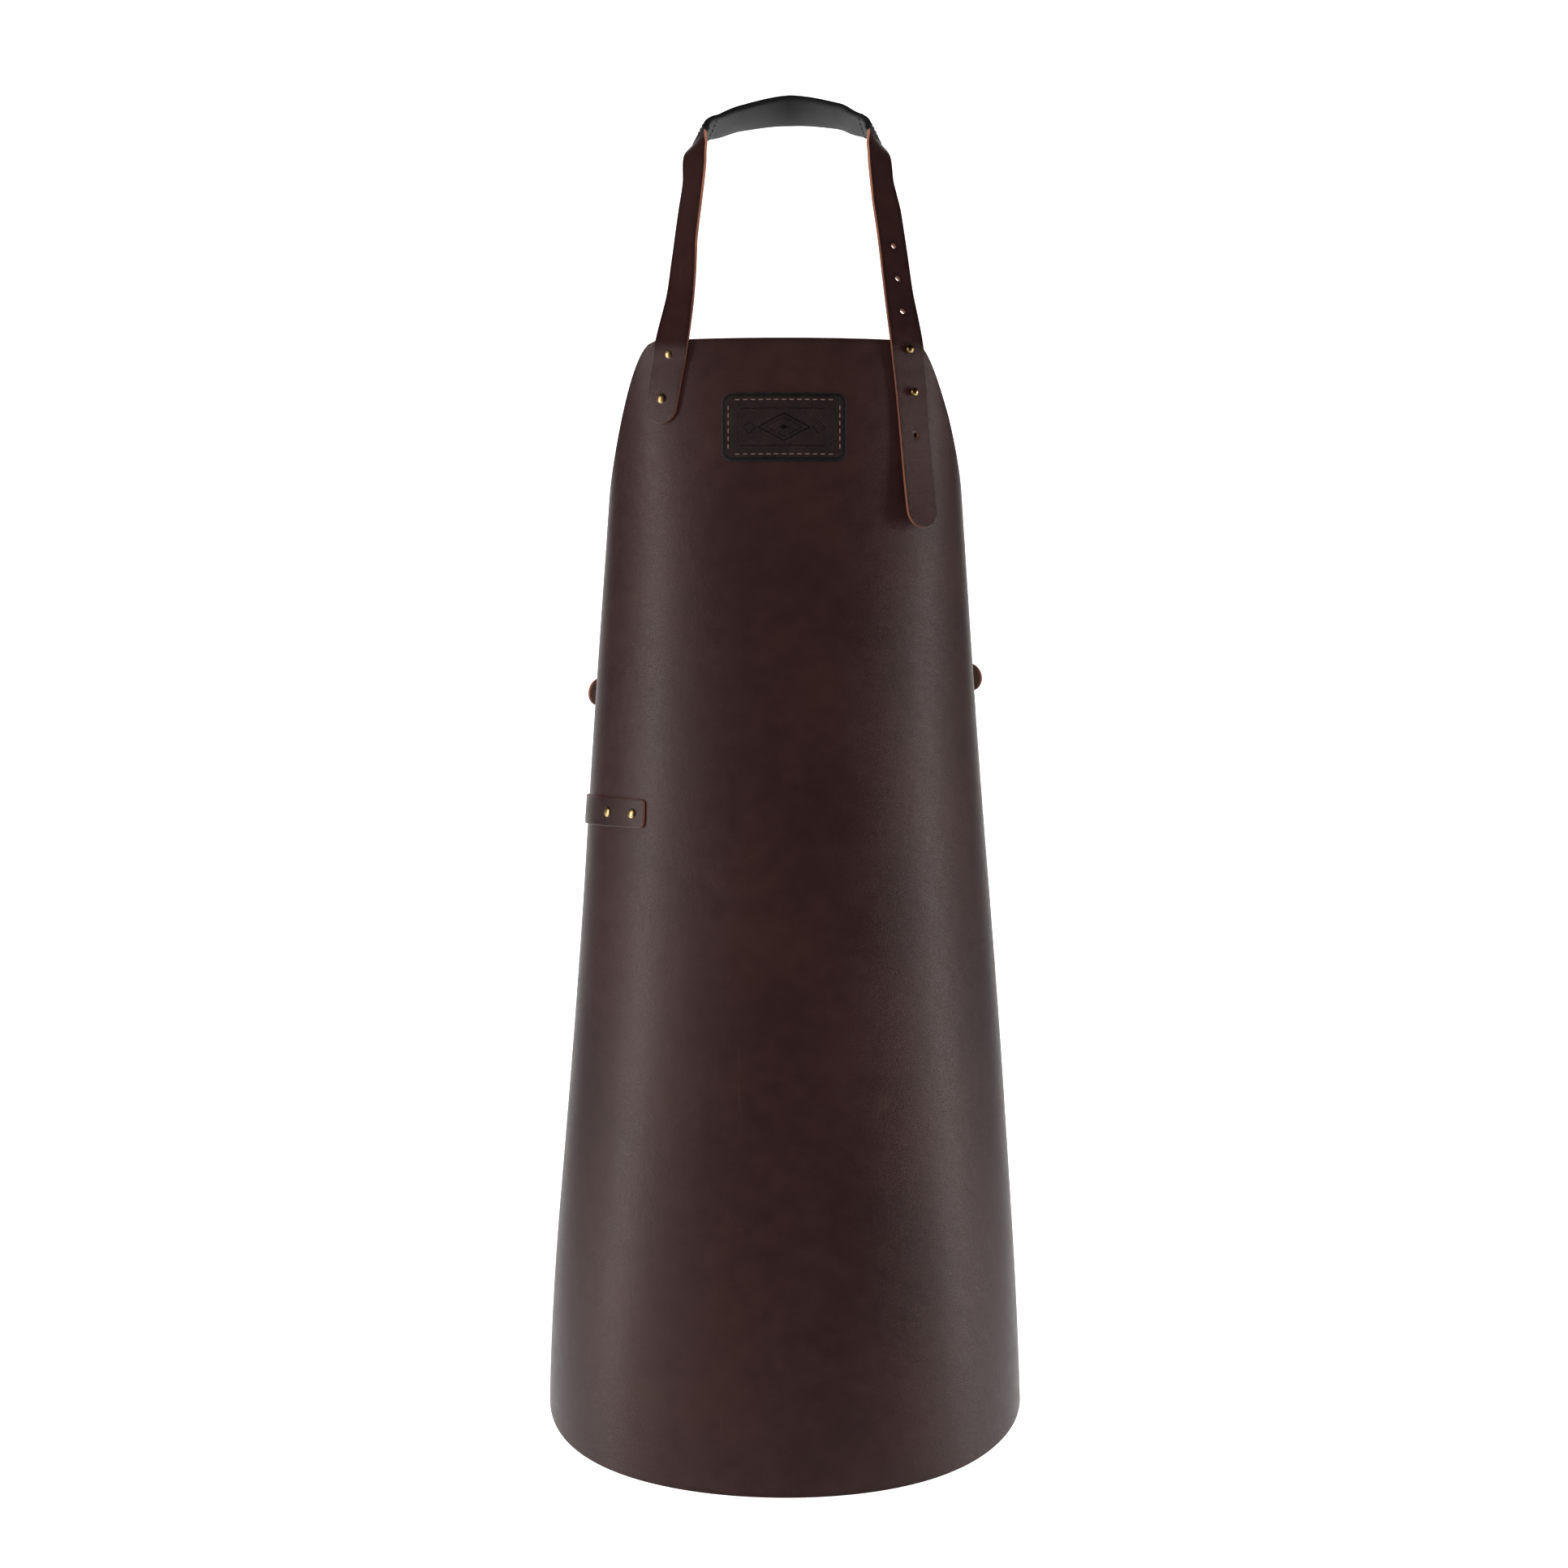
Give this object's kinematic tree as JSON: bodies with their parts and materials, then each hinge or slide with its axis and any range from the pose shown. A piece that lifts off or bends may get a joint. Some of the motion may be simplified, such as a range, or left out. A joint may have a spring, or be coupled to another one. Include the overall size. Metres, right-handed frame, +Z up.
{
  "type": "welding apron",
  "caption": "Full-length leather bib apron with an arched neck pad, stud-adjusted neck strap, waist strap and hip towel strap.",
  "frame": {"origin": "where the neck pad's inner face rests on the back of the neck", "axes": "+Z up, -Y forwards from the wearer's chest, +X to the right of someone facing the apron"},
  "size_m": [0.3383, 0.2171, 0.9909],
  "materials": {
    "brown_leather": "smooth waxed grain, tan cut edges",
    "black_leather": "smooth, matt",
    "label_leather": "fine pebbled grain",
    "felt": "pressed felt",
    "black_thread": "waxed thread",
    "tan_thread": "waxed thread",
    "brass": "polished"
  },
  "bodies": {
    "neck_loop": {"neck_strap_left_upper": "brown_leather", "neck_strap_right_upper": "brown_leather", "neck_pad_cover": "black_leather", "neck_pad_lining": "black_leather", "neck_pad_filler": "felt", "neck_pad_stitching": "black_thread"},
    "apron": {"apron_body": "brown_leather", "neck_strap_left_lower": "brown_leather", "neck_strap_right_lower": "brown_leather", "towel_strap": "brown_leather", "waist_strap_right_end": "brown_leather", "waist_strap_left_end": "brown_leather", "label_backing": "black_leather", "label_patch": "label_leather", "label_stitching": "tan_thread", "neck_rivet_lower_cap": "brass", "neck_rivet_lower_post": "brass", "neck_rivet_upper_cap": "brass", "neck_rivet_upper_post": "brass", "towel_rivet_1_cap": "brass", "towel_rivet_1_post": "brass", "towel_rivet_2_cap": "brass", "towel_rivet_2_post": "brass", "towel_rivet_3_cap": "brass", "towel_rivet_3_post": "brass", "towel_rivet_4_cap": "brass", "towel_rivet_4_post": "brass", "waist_rivet_right_1_cap": "brass", "waist_rivet_right_1_post": "brass", "waist_rivet_right_2_cap": "brass", "waist_rivet_right_2_post": "brass", "waist_rivet_left_1_cap": "brass", "waist_rivet_left_1_post": "brass", "waist_rivet_left_2_cap": "brass", "waist_rivet_left_2_post": "brass", "neck_stud_upper": "brass", "neck_stud_upper_screw": "brass", "neck_stud_lower": "brass", "neck_stud_lower_screw": "brass"},
    "waist_right": {"waist_strap_right": "brown_leather"},
    "waist_left": {"waist_strap_left": "brown_leather", "waist_stud": "brass", "waist_stud_screw": "brass"}
  },
  "joints": [
    {"name": "neck_fold", "type": "hinge", "parent": "neck_loop", "child": "apron", "pos_m": [0.0036, -0.11625, -0.1774], "axis": [1, 0, 0], "range_deg": [-75, 45]},
    {"name": "waist_right_swing", "type": "hinge", "parent": "apron", "child": "waist_right", "pos_m": [0.08553, 0.05273, -0.41037], "axis": [-0.1568, -0.1876, 0.9697], "range_deg": [-90, 0]},
    {"name": "waist_left_swing", "type": "hinge", "parent": "apron", "child": "waist_left", "pos_m": [-0.08579, 0.05418, -0.4159], "axis": [0.0987, -0.2204, 0.9704], "range_deg": [-60, 0]}
  ]
}
